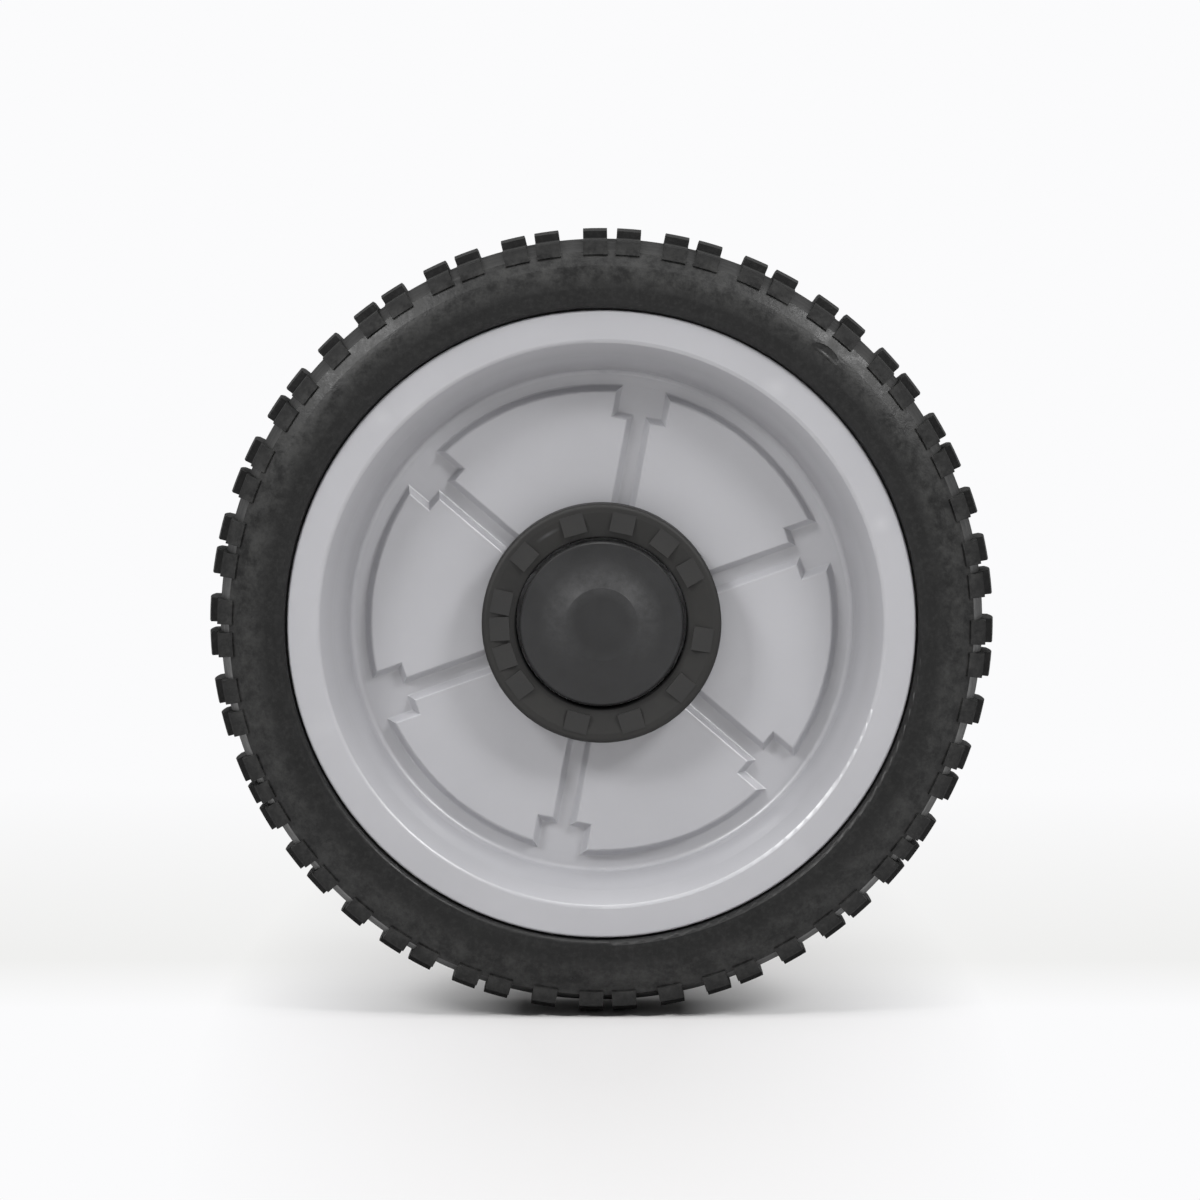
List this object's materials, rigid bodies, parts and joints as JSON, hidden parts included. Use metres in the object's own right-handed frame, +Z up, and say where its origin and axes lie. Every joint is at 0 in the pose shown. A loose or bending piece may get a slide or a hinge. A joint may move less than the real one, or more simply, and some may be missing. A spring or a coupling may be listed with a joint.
{
  "type": "wheel",
  "caption": "Small garden machine wheel: lugged rubber tyre on a dished plastic disc, turning on shielded ball bearings, with a hub collar and a domed cap.",
  "frame": {"origin": "centre of the wheel, on the axis of the axle bore and midway across the rim", "axes": "+Y along the axle towards the machine, -Y towards the capped outer side, +Z up"},
  "size_m": [0.2, 0.0475, 0.2],
  "materials": {
    "tyre": "matte moulded rubber",
    "grey_plastic": "light grey moulded plastic, satin",
    "black_plastic": "black moulded plastic, satin",
    "black_cap_plastic": "black moulded plastic, a little glossier",
    "sleeve_steel": "turned steel tube",
    "bearing_steel": "ground bearing steel",
    "ball_steel": "polished bearing balls",
    "cage_steel": "pressed sheet steel",
    "shield_steel": "pressed sheet steel"
  },
  "bodies": {
    "inner_races": {"front_inner_race": "bearing_steel", "rear_inner_race": "bearing_steel", "spacer_sleeve": "sleeve_steel"},
    "wheel": {"tyre": "tyre", "wheel_disc": "grey_plastic", "hub_collar": "black_plastic", "hub_cap": "black_cap_plastic", "front_outer_race": "bearing_steel", "rear_outer_race": "bearing_steel", "front_outer_shield": "shield_steel", "front_inner_shield": "shield_steel", "rear_outer_shield": "shield_steel", "rear_inner_shield": "shield_steel"},
    "front_cage_set": {"front_balls": "ball_steel", "front_cage_outer_half": "cage_steel", "front_cage_inner_half": "cage_steel", "front_cage_rivets": "cage_steel"},
    "rear_cage_set": {"rear_balls": "ball_steel", "rear_cage_outer_half": "cage_steel", "rear_cage_inner_half": "cage_steel", "rear_cage_rivets": "cage_steel"}
  },
  "joints": [
    {"name": "wheel_spin", "type": "hinge", "parent": "inner_races", "child": "wheel", "pos_m": [0, 0, 0], "axis": [0, 1, 0], "continuous": true},
    {"name": "front_cage_spin", "type": "hinge", "parent": "inner_races", "child": "front_cage_set", "pos_m": [0, 0, 0], "axis": [0, 1, 0], "continuous": true},
    {"name": "rear_cage_spin", "type": "hinge", "parent": "inner_races", "child": "rear_cage_set", "pos_m": [0, 0, 0], "axis": [0, 1, 0], "continuous": true}
  ],
  "couplings": [
    {"joint": "front_cage_spin", "follows": "wheel_spin", "ratio": 0.619},
    {"joint": "rear_cage_spin", "follows": "wheel_spin", "ratio": 0.619}
  ]
}
